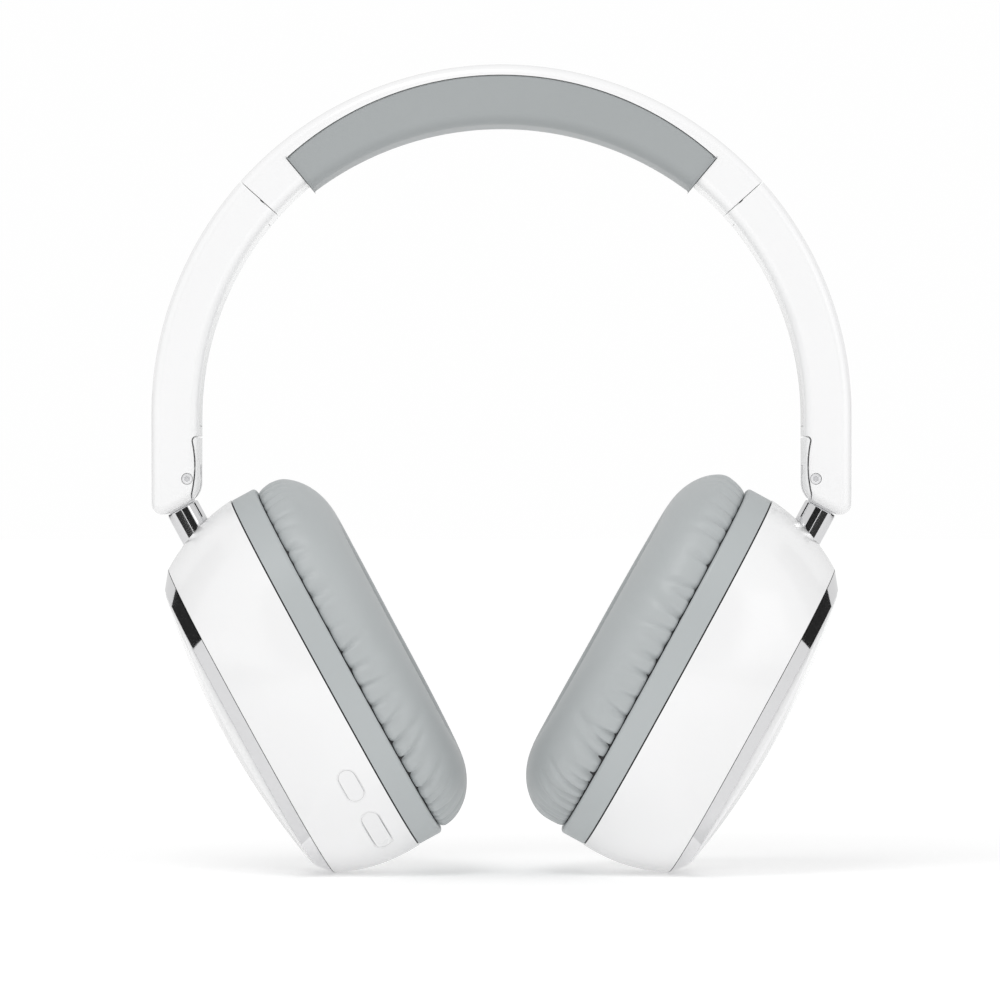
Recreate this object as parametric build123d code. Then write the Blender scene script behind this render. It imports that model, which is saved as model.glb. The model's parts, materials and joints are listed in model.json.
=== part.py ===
from build123d import *
from math import acos, asin, atan2, cos, degrees, hypot, radians, sin, sqrt
import os

# Over ear headphones standing on the rims of their two ear cups. Millimetres, +Z up, +X to the
# right, the front towards -Y. The origin is on the floor, midway between the cups. Each left
# piece is drawn once and its right twin is the mirror image. A lean is an angle from straight
# up towards the left, about the centre that it is measured from.

# ---- Headband ring: end blocks and arms share one outline
band_r = 81.9               # outer face
band_thick = 11.3           # outer face to inner face
band_centre = (0.0, 107.15)  # x, z of the ring's centre
band_half_top = 15.0        # half depth, front to back, at the crown
band_half_foot = 9.5        # half depth at the foot of the arms
band_foot_z = 83.0
band_edge_round = 2.4       # rounding of the outer edges
split_lean = 48.2           # where each arm leaves its end block
seam = 0.35                 # visible gap between two moulded pieces

# ---- Headband pad and what it hides
pad_lean = 40.0             # half the angle that the pad spans
pad_crown_r = 67.8          # underside of the pad at the crown
pad_end_r = 69.0            # underside of the pad at its ends
lip_crown_r = 79.4          # the shell's lip ends here at the crown
lip_end_r = 78.3            # and here at the pad's ends
pad_edge_round = 3.0
channel_r = 79.2            # roof of the channel in the shell
channel_half = 9.0          # half depth of the channel
liner_r = 72.2              # underside of the liner
liner_base = 1.7
liner_wall = 1.4
spring_thick = 0.5
spring_half = 6.0
liner_screw_lean = 12.0
liner_screw_r = 1.1
screw_head_r = 2.0
screw_head_high = 1.0

# ---- Sliding arms: a curved steel strip that turns about a far centre
strip_arc_r = 170.0         # middle of the strip's thickness
strip_tangent_lean = 41.4   # the strip runs along the band's own circle here
strip_tangent_r = 75.0
strip_thick = 1.0
strip_half = 5.5
strip_in_block = 36.0       # length past the split inside the headband
strip_in_arm = 18.0         # length past the split inside the arm
strip_slit = 13.0           # length of the slit in the block and its guide
slide_gap = 0.30            # between the strip and its guide
guide_half = 7.8
guide_low_r = 73.4
guide_wall = 1.0            # end wall of the block beyond the guide
strip_bow = 0.02            # the strip's curve stands this far off the screw's flat head
detent_thick = 0.3
detent_drop = 0.7           # below the strip
detent_leans = (41.3, 43.5) # about the strip's centre
detent_half = 3.0
strip_screw_back = 5.0      # from the strip's end in the arm

# ---- Arm and its covers
pocket_half = 6.0
pocket_roof_r = 76.3
pocket_leans = (50.5, 92.0)
cover_thick = 1.5
hinge_cover_top_z = 102.05
hinge_cover_thick = 0.9     # at the middle of the cover's bulging edge
hinge_cover_bulge = 0.8     # its two ends reach this much further out
hinge_cover_end_z = 88.8
hinge_cover_corner = 0.8
tip_round = 2.5
inner_corner_round = 5.0

# ---- Folding hinge
pin_x, pin_z = -73.5, 92.35
pin_r = 1.1
pin_head_r = 1.25
pin_head_deep = 1.3
running = 0.05              # radial clearance of a shaft that turns in its hole
knuckle_r = 2.8
knuckle_half = 4.2
knuckle_slot_half = 4.7
knuckle_slot_top = 4.0      # above the pin
arm_outer_wall = 1.6
arm_end_drop = 4.8          # the arm ends this far past the pin, along the stem
pin_bury = 0.6              # the pin's head lies this far under the arm's side

# ---- Swivel stem
stem_r = 4.0
stem_offset = 4.57          # outwards of the pin
stem_top_drop = 5.2         # its bright sleeve starts this far past the pin
plug_r = 3.0
plug_deep = 5.0
journal_r = 3.2
wire_bore_r = 1.6
bush_r = 5.4
boss_wall = 2.0
stem_hole_gap = 0.3
end_play = 0.3
bush_high = 10.4
clip_r = 4.8
clip_thick = 0.6
clip_groove = 0.6
clip_mouth = 4.0

# ---- Ear cup: X towards the ear, Z up along the stem, from the middle of the parting plane
cup_inset = 6.3             # from the pin towards the ear
cup_neck = 9.2              # from the pin down to the cup's full oval, along the stem
cup_reach_in = 48.6947      # the cup's foot stands this far inwards of the pin
cup_half_high = 46.1
cup_half_deep = 37.5
cup_side_r = 95.0           # arc of the front and back of the oval
cup_end_r = 88.0            # arc of its top and bottom
cup_corner_r = 32.0
cup_crown_r = 41.0          # the side wall curves in over this radius
cup_sink = 0.077            # the oval sinks by this share of its distance from the parting plane
shell_deep = 20.4
shell_wall = 2.0
ring_gap = 0.15
ring_high = 2.9
ring_foot_inset = 5.5       # inset of the ring's foot from the cup's full oval
ring_top_inset = 9.0
ring_land = 0.6
cover_gap = 0.15
dome_r = 175.0
dome_top = 27.7             # top of the outer cover, from the parting plane
dome_edge_round = 0.8
dome_wall = 2.0

# ---- Baffle and driver
baffle_gap = 0.35
baffle_high = 6.3
baffle_inset = 0.2
baffle_wall = 3.0
baffle_edge_round = 0.8
baffle_plate = (1.5, 3.5)   # from the parting plane
driver_r = 20.4
driver_flange_r = 22.5
driver_flange = 1.0
driver_back = 4.0
driver_wall = 1.2
magnet_r = 9.0
magnet_high = 4.5
diaphragm_r = 18.0
diaphragm_thick = 0.4
grille_inset = 4.2
grille_thick = 0.6
vent_r = 2.0
vent_ring = 27.5

# ---- Ear cushion
cushion_top = 20.2
cushion_seam = 0.4
cushion_inset = 1.1
cushion_hole_inset = 17.2
cushion_outer_round = 11.0
cushion_inner_round = 4.0
cushion_ring_insets = (2.5, 15.5)
cushion_ring_thick = 1.5

# ---- Buttons, ports and electronics
button_out = 6.3            # outwards of the parting plane
button_wide = 3.9
button_deep = 3.0
button_gap = 0.35
button_heights = {"button_upper": -25.6, "button_lower": -38.0}
button_lengths = {"button_upper": 8.2, "button_lower": 13.4}
button_travel = 0.5
switch_size = (4.0, 4.0, 2.0)
port_out = 9.0              # outwards of the parting plane
jack_high = -6.0
jack_bore_r = 1.75
jack_body_r = 3.2
jack_long = 14.0
jack_bore_deep = 13.0
usb_high = -20.0
usb_size = (3.3, 9.0)       # mouth of the socket
usb_wall = 0.6
usb_deep = 7.0
port_recess = 0.5
board_out = 16.4
board_size = (44.0, 52.0)
board_thick = 1.2
battery_out = 9.6
battery_size = (6.0, 28.0, 24.0)

inner_r = band_r - band_thick
cup_drop = cup_neck + cup_half_high             # middle of the cup below the pin, along the stem
# The stem leans outwards at its top; taller cups lean less, so that their feet stay as far apart.
stem_tilt = degrees(asin(cup_reach_in / (cup_drop + cup_half_high)))
side_frame = Location((pin_x, 0, pin_z), (0, -stem_tilt, 0))
cup_frame = side_frame * Location((cup_inset, 0, -cup_drop))
stem_x = -cup_inset - stem_offset               # stem axis, in the cup's frame
ring_sink = cup_sink * (shell_deep + ring_gap + ring_high)
strip_centre = (
    (strip_arc_r - strip_tangent_r) * sin(radians(strip_tangent_lean)),
    band_centre[1] - (strip_arc_r - strip_tangent_r) * cos(radians(strip_tangent_lean)),
)
split_reach = radians(split_lean - strip_tangent_lean) * strip_tangent_r
strip_leans = tuple(
    strip_tangent_lean + degrees((split_reach + past_split) / strip_arc_r)
    for past_split in (-strip_in_block, strip_in_arm)
)
slit_leans = tuple(                              # from within the pad's end to past the split
    strip_tangent_lean + degrees((split_reach + past_split) / strip_arc_r)
    for past_split in (-strip_slit, 4.0)
)


# ------------------------------------------------------------------ shared shapes
def flat(outline, half_depth):
    """A plate of an outline drawn in x and z, as deep each side of the middle."""
    return extrude(Plane.XZ * outline, half_depth, both=True)


def arc_block(centre, r0, r1, lean0, lean1, half_depth):
    """A curved bar between two radii and two leans about a centre."""
    outer = CenterArc(centre, r1, 90 + lean0, lean1 - lean0)
    inner = CenterArc(centre, r0, 90 + lean0, lean1 - lean0)
    edges = [outer, inner, Line(outer @ 0, inner @ 0), Line(outer @ 1, inner @ 1)]
    return flat(make_face(edges), half_depth)


def wedge(lean0, lean1, reach=130.0):
    """Everything between two leans about the band's centre."""
    return arc_block(band_centre, 1.0, reach, lean0, lean1, 60)


def radial(radius, lean, centre=band_centre):
    """A place on the band whose Z axis points away from the centre."""
    x = centre[0] - radius * sin(radians(lean))
    z = centre[1] + radius * cos(radians(lean))
    return Location((x, 0, z), (0, -lean, 0))


def rod(radius, z0, z1):
    """A round bar along Z between two heights."""
    return Pos(0, 0, (z0 + z1) / 2) * Cylinder(radius, z1 - z0)


def cross_rod(radius, y0, y1):
    """A round bar along Y between two depths."""
    return Pos(0, (y0 + y1) / 2, 0) * Rot(90, 0, 0) * Cylinder(radius, y1 - y0)


def mirrored(part):
    return mirror(part, about=Plane.YZ)


def oval_centres():
    """Centres of the side, end and corner arcs of the cup's oval, in its first quarter."""
    side = (cup_half_deep - cup_side_r, 0.0)
    end = (0.0, cup_half_high - cup_end_r)
    run = hypot(side[0], end[1])
    to_side, to_end = cup_side_r - cup_corner_r, cup_end_r - cup_corner_r
    along = (to_side ** 2 - to_end ** 2 + run ** 2) / (2 * run)
    off = sqrt(to_side ** 2 - along ** 2)
    ux, uz = -side[0] / run, end[1] / run
    corner = (side[0] + along * ux - off * uz, along * uz + off * ux)
    return side, end, corner


def oval(inset=0.0):
    """The cup's outline, smaller by an inset all round, as a face in (depth, height)."""
    side, end, corner = oval_centres()
    low = degrees(atan2(corner[1] - side[1], corner[0] - side[0]))
    high = degrees(atan2(corner[1] - end[1], corner[0] - end[0]))
    arcs = [
        CenterArc(side, cup_side_r - inset, -low, 2 * low),
        CenterArc(corner, cup_corner_r - inset, low, high - low),
        CenterArc(end, cup_end_r - inset, high, 180 - 2 * high),
        CenterArc((-corner[0], corner[1]), cup_corner_r - inset, 180 - high, high - low),
        CenterArc((-side[0], 0), cup_side_r - inset, 180 - low, 2 * low),
        CenterArc((-corner[0], -corner[1]), cup_corner_r - inset, 180 + low, high - low),
        CenterArc((0, -end[1]), cup_end_r - inset, 180 + high, 180 - 2 * high),
        CenterArc((corner[0], -corner[1]), cup_corner_r - inset, -high, high - low),
    ]
    return make_face(arcs)


def oval_at(out, inset):
    """The oval at a distance outwards of the parting plane, sunk as the cup sinks."""
    return Plane.YZ.offset(-out) * Pos(0, -cup_sink * out) * oval(inset)


def oval_plate(x0, x1, inset, sink=0.0):
    """A straight plate of the oval between two places along X, lowered by a sink."""
    return extrude(Plane.YZ.offset(x0) * Pos(0, -sink) * oval(inset), x1 - x0)


def crown_inset(out):
    """How far the cup's side wall has curved in, at a distance outwards of the parting plane."""
    return cup_crown_r - sqrt(cup_crown_r ** 2 - out ** 2)


def cup_block(inset, depth):
    """The cup's outer form, or its cavity when inset, down to a depth."""
    steps = 5
    outs = [depth * k / (steps - 1) for k in range(steps)]
    return loft([oval_at(out, crown_inset(out) + inset) for out in outs])


def wall_spot(height, out, front=True):
    """A place on the cup's side wall whose Z axis points straight out of the wall."""
    side, end, corner = oval_centres()
    inset = crown_inset(out)
    z = height + cup_sink * out
    side_top = sin(atan2(corner[1], corner[0] - side[0])) * (cup_side_r - inset)
    if abs(z) <= side_top:
        centre, radius = side, cup_side_r - inset
    else:
        centre, radius = (corner[0], -corner[1]), cup_corner_r - inset
    rise = (z - centre[1]) / radius
    depth = centre[0] + radius * sqrt(1 - rise ** 2)
    sign = -1 if front else 1
    normal = (0, sign * sqrt(1 - rise ** 2), rise)
    return Plane((-out, sign * depth, height), x_dir=(1, 0, 0), z_dir=normal)


# ------------------------------------------------------------------ headband ring
def band_half(z):
    slope = (band_half_top - band_half_foot) / (band_centre[1] + band_r - band_foot_z)
    return band_half_foot + slope * (z - band_foot_z)


def side_wedge(trim=0.0):
    """The space between the band's front and back faces, which lean in towards the foot."""
    low, high = band_foot_z - 20, band_centre[1] + band_r + 10
    face = Polygon((-band_half(low) + trim, low), (band_half(low) - trim, low),
                   (band_half(high) - trim, high), (-band_half(high) + trim, high), align=None)
    return extrude(Plane.YZ * face, 120, both=True)


def arm_end_corner(x):
    """Where the arm's end face meets a vertical line at x."""
    t = radians(stem_tilt)
    start_x = pin_x + arm_end_drop * sin(t)
    start_z = pin_z - arm_end_drop * cos(t)
    return (x, start_z + (x - start_x) * sin(t) / cos(t))


def band_blank():
    """The whole band before it is parted: a ring on two straight legs."""
    zc = band_centre[1]
    outer_foot, inner_foot = arm_end_corner(-band_r), arm_end_corner(-inner_r)
    leg = Polygon((-band_r, zc), (-inner_r, zc), inner_foot, outer_foot, align=None)
    low = leg.vertices().sort_by(Axis.Y)
    leg = fillet(low[0], tip_round)
    leg = fillet(leg.vertices().filter_by(lambda v: v.Y < zc - 1).sort_by(Axis.X)[-1], inner_corner_round)
    ring = Pos(0, zc) * (Circle(band_r) - Circle(inner_r))
    ring -= Pos(0, zc - 100) * Rectangle(300, 200)
    outline = ring + leg + mirror(leg, about=Plane.YZ)
    blank = flat(outline, 2 * band_half_top) & side_wedge()
    outer = [e for e in blank.edges() if is_outer_edge(e)]
    return fillet(outer, band_edge_round)


def is_outer_edge(edge):
    """True for the long edges where the band's outer face meets its front and back."""
    def on_outer(p):
        if p.Z > band_centre[1] + 1e-3:
            return abs(hypot(p.X, p.Z - band_centre[1]) - band_r) < 1e-2
        return abs(abs(p.X) - band_r) < 1e-2
    return edge.length > 5 and all(on_outer(edge @ t) and abs((edge @ t).Y) > 1 for t in (0, 0.5, 1))


def offset_circle(crown, end):
    """Centre and radius of the circle that passes a crown radius and two end radii of the band."""
    shift = (crown - end) / (1 - cos(radians(pad_lean)))
    return (0.0, band_centre[1] + shift), crown - shift


def pad_bay():
    """The space under the shell's lip that the pad fills."""
    centre, radius = offset_circle(lip_crown_r, lip_end_r)
    return flat(Pos(*centre) * Circle(radius), 60)


def headband_shell(blank):
    part = blank & wedge(-split_lean + seam_lean, split_lean - seam_lean)
    part -= pad_bay() & wedge(-pad_lean, pad_lean)
    part -= arc_block(band_centre, 60, channel_r, -pad_lean - 0.1, pad_lean + 0.1, channel_half)
    part -= radial(0, liner_screw_lean) * rod(liner_screw_r, channel_r - 1, channel_r + 1.4)
    part -= radial(0, -liner_screw_lean) * rod(liner_screw_r, channel_r - 1, channel_r + 1.4)
    pocket = arc_block(band_centre, guide_low_r, channel_r, pad_lean - 1, split_lean - guide_wall_lean,
                       guide_half)
    cut = pocket + strip_bar(slide_gap, *slit_leans)
    return part - cut - mirrored(cut)


def headband_pad():
    top, low = offset_circle(lip_crown_r - seam, lip_end_r - seam), offset_circle(pad_crown_r, pad_end_r)
    ring = Pos(*top[0]) * Circle(top[1]) - Pos(*low[0]) * Circle(low[1])
    lean = pad_lean - seam_lean
    part = flat(ring, 60) & wedge(-lean, lean) & side_wedge(seam)
    edges = [e for e in part.edges() if e.length > 40 and (e @ 0.5).Z < band_centre[1] + lip_crown_r - 5]
    part = fillet(edges, pad_edge_round)
    return part - arc_block(band_centre, liner_r - seam, 95, -60, 60, channel_half)


def headband_liner():
    lean = pad_lean - seam_lean
    part = arc_block(band_centre, liner_r, channel_r - 0.1, -lean, lean, channel_half - seam)
    part -= arc_block(band_centre, liner_r + liner_base, 95, -60, 60, channel_half - seam - liner_wall)
    for side in (-1, 1):
        part -= radial(0, side * liner_screw_lean) * rod(liner_screw_r, liner_r - 1, liner_r + 5)
        part -= radial(0, side * liner_screw_lean) * rod(screw_head_r, liner_r - 1, liner_r + screw_head_high)
    return part


def headband_spring():
    lean = pad_lean - seam_lean
    part = arc_block(band_centre, channel_r - spring_thick, channel_r, -lean, lean, spring_half)
    for side in (-1, 1):
        part -= radial(0, side * liner_screw_lean) * rod(liner_screw_r + 0.2, channel_r - 2, channel_r + 1)
    return part


def liner_screw():
    head = rod(screw_head_r, liner_r + 0.05, liner_r + screw_head_high)
    shank = rod(liner_screw_r, liner_r + screw_head_high, channel_r + 1.3)
    socket = Pos(0, 0, liner_r) * extrude(RegularPolygon(1.0, 6), 0.6)
    return radial(0, liner_screw_lean) * (head + shank - socket)


# ------------------------------------------------------------------ sliding strip
def strip_bar(gap=0.0, lean0=None, lean1=None, half=None):
    """The strip, or the slot that it runs in when given a gap."""
    lean0 = strip_leans[0] if lean0 is None else lean0
    lean1 = strip_leans[1] if lean1 is None else lean1
    half_thick = strip_thick / 2 + gap
    return arc_block(strip_centre, strip_arc_r - half_thick, strip_arc_r + half_thick, lean0, lean1,
                     (strip_half if half is None else half) + gap)


def strip_screw_place():
    """On the strip's inner face, with Z pointing outwards through the arm."""
    lean = strip_leans[1] - degrees(strip_screw_back / strip_arc_r)
    return radial(strip_arc_r - strip_thick / 2, lean, strip_centre)


def slider_strip():
    return strip_bar() - strip_screw_place() * rod(liner_screw_r + 0.1, -2, 4)


def strip_screw():
    head = rod(screw_head_r, -screw_head_high, -strip_bow)
    socket = Pos(0, 0, -screw_head_high) * extrude(RegularPolygon(1.0, 6), 0.5)
    return strip_screw_place() * (head + rod(liner_screw_r, -strip_bow, strip_thick + 2.0) - socket)


def strip_guide():
    lean0, lean1 = pad_lean + seam_lean, split_lean - guide_wall_lean
    part = arc_block(band_centre, guide_low_r, channel_r - spring_thick - 0.1, lean0, lean1, guide_half)
    part -= strip_bar(slide_gap, *slit_leans)
    return part - detent_bay()


def detent_bay():
    """Room under the strip for the detent spring."""
    r1 = strip_arc_r - strip_thick / 2
    return arc_block(strip_centre, r1 - detent_drop - detent_thick, r1, *detent_leans, detent_half + 0.2)


def detent_spring():
    r0 = strip_arc_r - strip_thick / 2 - detent_drop - detent_thick
    return arc_block(strip_centre, r0, r0 + detent_thick, *detent_leans, detent_half)


# ------------------------------------------------------------------ arm
def arm_shell(blank):
    part = blank & wedge(split_lean + seam_lean, 179)
    part -= arc_block(band_centre, inner_r - 5, pocket_roof_r, *pocket_leans, pocket_half)
    part -= arc_block(strip_centre, strip_arc_r - 8, strip_arc_r + strip_thick / 2, 46.6,
                      strip_leans[1], pocket_half - 0.5) & wedge(pocket_leans[0], 90)
    part -= strip_bar(0, 40, strip_leans[1])
    part -= strip_screw_place() * rod(liner_screw_r, 0, strip_thick + 2.1)
    part -= flat(offset(hinge_cover_outline(), seam), 30)
    part -= knuckle_slot()
    part -= side_frame * cross_rod(pin_r, -band_half_top, 8.1)
    return part - side_frame * cross_rod(pin_head_r + 0.1, -20, head_floor())


def head_floor():
    """Depth of the seat under the hinge pin's head, from the middle plane."""
    return -band_half(pin_z) + pin_bury + pin_head_deep


def knuckle_slot():
    """Open at the arm's end and at its inner face, so that the knuckle and stem can swing in."""
    slot = side_frame * Pos(4, 0, (knuckle_slot_top - 30) / 2) * Box(
        34, 2 * knuckle_slot_half, knuckle_slot_top + 30)
    keep = Box(100, 100, 300).moved(Location((-band_r + arm_outer_wall + 50, 0, 100)))
    return slot & keep


def arm_inner_cover():
    lean0, lean1 = pocket_leans
    return arc_block(band_centre, inner_r, inner_r + cover_thick, lean0 + 0.1, lean1 - 0.1,
                     pocket_half - 0.1)


def hinge_cover_outline():
    """The cover's share of the arm in x and z: its outer edge bows in towards the head."""
    bow_x = -inner_r - hinge_cover_thick
    end_x = bow_x - hinge_cover_bulge
    low_z = band_foot_z - 10
    top, end = (end_x, hinge_cover_top_z), (end_x, hinge_cover_end_z)
    bow = ThreePointArc(top, (bow_x, (hinge_cover_top_z + hinge_cover_end_z) / 2), end)
    rest = Polyline(end, (end_x, low_z), (end_x + 10, low_z), (end_x + 10, hinge_cover_top_z), top)
    outline = make_face([bow, *rest.edges()])
    corner = outline.vertices().sort_by(lambda v: hypot(v.X - top[0], v.Y - top[1]))[0]
    return fillet(corner, hinge_cover_corner)


def hinge_cover(blank):
    """The flap over the hinge, slotted for the stem."""
    part = blank & flat(hinge_cover_outline(), 30)
    return part - side_frame * Pos(0, 0, -30 + 1.6) * Box(30, 2 * knuckle_slot_half, 60)


def hinge_screw():
    floor = head_floor()
    part = cross_rod(pin_r, floor, 8.0) + cross_rod(pin_head_r, floor - pin_head_deep, floor)
    socket = extrude(Plane.XZ.offset(pin_head_deep - floor) * RegularPolygon(0.75, 6), -0.7)
    return side_frame * (part - socket)


# ------------------------------------------------------------------ hinge and stem
def hinge_knuckle():
    """A barrel on the pin and a plug that the bright stem is pressed on to."""
    outline = Circle(knuckle_r)
    outline += Pos(-stem_offset, -stem_top_drop + 0.6) * Rectangle(2 * plug_r, 1.2)
    body = flat(make_hull(outline.edges()), knuckle_half)
    plug = Pos(-stem_offset, 0, 0) * rod(plug_r, -stem_top_drop - plug_deep, -stem_top_drop + 1)
    bore = Pos(-stem_offset, 0, 0) * rod(wire_bore_r, -30, -1.5)
    return side_frame * (body + plug - cross_rod(pin_r + running, -20, 20) - bore)


def swivel_stem():
    top = cup_drop - stem_top_drop
    shoulder = stem_shoulder()
    foot = shoulder - bush_high - 2 * end_play - 2 * clip_thick
    groove_top = shoulder - bush_high - 2 * end_play
    part = rod(stem_r, shoulder, top) + rod(journal_r, foot, shoulder)
    part = fillet(part.edges().filter_by(GeomType.CIRCLE).sort_by(Axis.Z)[-1], 0.4)
    part -= rod(plug_r, top - plug_deep, top + 1) + rod(wire_bore_r, foot - 1, top)
    part -= rod(journal_r + 1, groove_top - clip_thick, groove_top) - rod(journal_r - clip_groove,
                                                                      groove_top - clip_thick, groove_top)
    return cup_frame * Pos(stem_x, 0, 0) * part


def stem_shoulder():
    """Height of the shoulder that carries the cup's bush, in the cup's frame."""
    return cup_half_high - crown_inset(-stem_x) - shell_wall - 1.6


def stem_clip():
    top = stem_shoulder() - bush_high - 2 * end_play
    part = rod(clip_r, top - clip_thick, top) - rod(journal_r - clip_groove, top - 2, top + 1)
    mouth = Pos(5, 0, top) * Box(10, clip_mouth, 4)
    return cup_frame * Pos(stem_x, 0, 0) * (part - mouth)


def stem_bush():
    top = stem_shoulder() - end_play
    part = rod(bush_r, top - bush_high, top) - rod(journal_r + running, top - 20, top + 1)
    return cup_frame * Pos(stem_x, 0, 0) * part


# ------------------------------------------------------------------ ear cup
def cup_shell(cuts):
    """A hollow bowl with an end wall, and a boss for the stem's bush; cuts are its own openings."""
    outer = cup_block(0, shell_deep)
    part = outer - cup_block(shell_wall, shell_deep - shell_wall)
    top = stem_shoulder() - end_play
    boss = Pos(stem_x, 0, 0) * rod(bush_r + boss_wall, top - bush_high + 1.0, cup_half_high)
    part += boss & cup_block(0.5, shell_deep)
    part -= Pos(stem_x, 0, 0) * rod(bush_r, 0, top)
    part -= Pos(stem_x, 0, 0) * rod(stem_r + stem_hole_gap, top - 1, cup_half_high + 5)
    for cut in cuts:
        part -= cut
    return cup_frame * part


def trim_ring():
    """The bright bevelled ring round the outer cover."""
    foot = shell_deep + ring_gap
    part = loft([oval_at(foot, ring_foot_inset),
                 oval_at(foot + ring_high, ring_top_inset)], ruled=True)
    hole = oval_plate(-foot - ring_high - 1, -foot + 1, ring_top_inset + ring_land, ring_sink)
    return cup_frame * (part - hole)


def cup_cover():
    """The shallow dome inside the bright ring."""
    inset = ring_top_inset + ring_land + cover_gap
    part = oval_plate(-dome_top - 2, -shell_deep - ring_gap, inset, ring_sink)
    ball = Pos(dome_r - dome_top, 0, -ring_sink) * Sphere(dome_r)
    part = part & ball
    rim = [e for e in part.edges() if (e @ 0.5).X < -shell_deep - 1.5]
    hollow = oval_plate(-dome_top, -shell_deep, inset + dome_wall, ring_sink)
    hollow &= Pos(dome_r - dome_top, 0, -ring_sink) * Sphere(dome_r - dome_wall)
    return cup_frame * (fillet(rim, dome_edge_round) - hollow)


def baffle():
    """The ring between shell and cushion, with the plate that holds the driver."""
    rim = oval_plate(baffle_gap, baffle_high, baffle_inset)
    rim = fillet(rim.faces().sort_by(Axis.X)[-1].edges(), baffle_edge_round)
    rim -= oval_plate(-1, 10, baffle_wall)
    low, high = baffle_plate
    plate = oval_plate(low, high, baffle_wall - 0.5)
    plate -= Rot(0, 90, 0) * Cylinder(driver_r + 0.1, 30)
    for angle in range(0, 360, 45):
        plate -= Rot(angle, 0, 0) * Pos(0, 0, vent_ring) * Rot(0, 90, 0) * Cylinder(vent_r, 30)
    return cup_frame * (rim + plate)


def disc(radius, x0, x1):
    """A round plate facing the ear."""
    return Pos((x0 + x1) / 2, 0, 0) * Rot(0, 90, 0) * Cylinder(radius, x1 - x0)


def driver_frame():
    high = baffle_plate[1]
    part = disc(driver_r, -driver_back, high) + disc(driver_flange_r, high, high + driver_flange)
    part -= disc(driver_r - driver_wall, -driver_back + driver_wall, high + 5)
    return cup_frame * (part - disc(magnet_r, -20, 0))


def driver_magnet():
    return cup_frame * disc(magnet_r, -driver_back - magnet_high + driver_wall, -driver_back + driver_wall)


def diaphragm():
    """A shallow domed film held in the driver's frame."""
    front = baffle_plate[1] - 0.6
    ball_r = 60.0
    ball = Pos(front + 2.4 - ball_r, 0, 0) * (Sphere(ball_r) - Sphere(ball_r - diaphragm_thick))
    return cup_frame * ((ball & disc(diaphragm_r, -5, 10)) + (
        disc(driver_r - driver_wall, front - 1.0, front) - disc(diaphragm_r - 1.5, -5, 10)))


def driver_grille():
    high = baffle_high - 0.2
    return cup_frame * oval_plate(high - grille_thick, high, grille_inset)


def cushion_ring():
    outer, inner = cushion_ring_insets
    part = oval_plate(baffle_high, baffle_high + cushion_ring_thick, outer)
    return cup_frame * (part - oval_plate(0, 30, inner))


def ear_cushion():
    back = baffle_high + cushion_seam
    part = oval_plate(back, cushion_top, cushion_inset)
    part = fillet(part.faces().sort_by(Axis.X)[-1].edges(), cushion_outer_round)
    part -= oval_plate(0, 30, cushion_hole_inset)
    rim = part.faces().sort_by(Axis.X)[-1].inner_wires()[0].edges()
    part = fillet(rim, cushion_inner_round)
    outer, inner = cushion_ring_insets
    seat = oval_plate(0, baffle_high + cushion_ring_thick, outer)
    seat -= oval_plate(-1, 30, inner)
    return cup_frame * (part - seat)


# ------------------------------------------------------------------ buttons and switches
def button_bar(name, gap=0.0):
    """A pill along the wall, standing out of it; the wall's own surface trims it flush."""
    spot = wall_spot(button_heights[name], button_out)
    pill = Rot(0, 0, 90) * SlotOverall(button_lengths[name] + 2 * gap, button_wide + 2 * gap)
    return extrude(spot.offset(-button_deep) * pill, button_deep + 4)


def button(name):
    return cup_frame * (button_bar(name) & cup_block(0.02, shell_deep))


def switch(name):
    """A small switch body behind its button."""
    spot = wall_spot(button_heights[name], button_out).offset(-button_deep - button_travel - 0.4)
    wide, long, high = switch_size
    return cup_frame * extrude(spot * Rectangle(wide, long), -high)


# ------------------------------------------------------------------ ports on the other cup
def jack_place():
    """At the mouth of the socket, with Z straight out of the back wall."""
    return wall_spot(jack_high, port_out, front=False).offset(-port_recess)


def straight(place):
    """The same place with its Z axis along +Y."""
    return Plane(place.origin, x_dir=(1, 0, 0), z_dir=(0, 1, 0))


def aux_jack():
    place = straight(jack_place())
    part = extrude(place * Circle(jack_body_r), -jack_long)
    return cup_frame * (part - extrude(place * Circle(jack_bore_r), -jack_bore_deep))


def usb_place():
    return straight(wall_spot(usb_high, port_out, front=False).offset(-port_recess - 1.2))


def usb_socket():
    place = usb_place()
    wide, long = usb_size
    body = SlotOverall(long + 2 * usb_wall, wide + 2 * usb_wall)
    part = extrude(place * Rot(0, 0, 90) * body, -usb_deep)
    part -= extrude(place * Rot(0, 0, 90) * SlotOverall(long, wide), -usb_deep + usb_wall)
    tongue = extrude(place.offset(-usb_deep) * Rectangle(0.7, long - 2.2), usb_deep - 1.0)
    return cup_frame * (part + tongue)


def port_cuts():
    """Openings in the wall for the two sockets."""
    jack = extrude(straight(jack_place()).offset(-4) * Circle(jack_body_r + 0.02), 10)
    wide, long = usb_size
    mouth = SlotOverall(long + 2 * usb_wall + 0.1, wide + 2 * usb_wall + 0.1)
    usb = extrude(usb_place().offset(-4) * Rot(0, 0, 90) * mouth, 10)
    return [jack, usb]


def board():
    deep, high = board_size
    part = Box(board_thick, deep, high).moved(Location((-board_out - board_thick / 2, 0, -6)))
    return cup_frame * part


def battery():
    long_x, deep, high = battery_size
    part = Box(*battery_size).moved(Location((-battery_out - long_x / 2, 0, -6)))
    return cup_frame * fillet(part.edges().filter_by(Axis.X), 2.0)


# ------------------------------------------------------------------ assembly
seam_lean = degrees(seam / 2 / band_r)
guide_wall_lean = degrees(guide_wall / strip_tangent_r)


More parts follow.
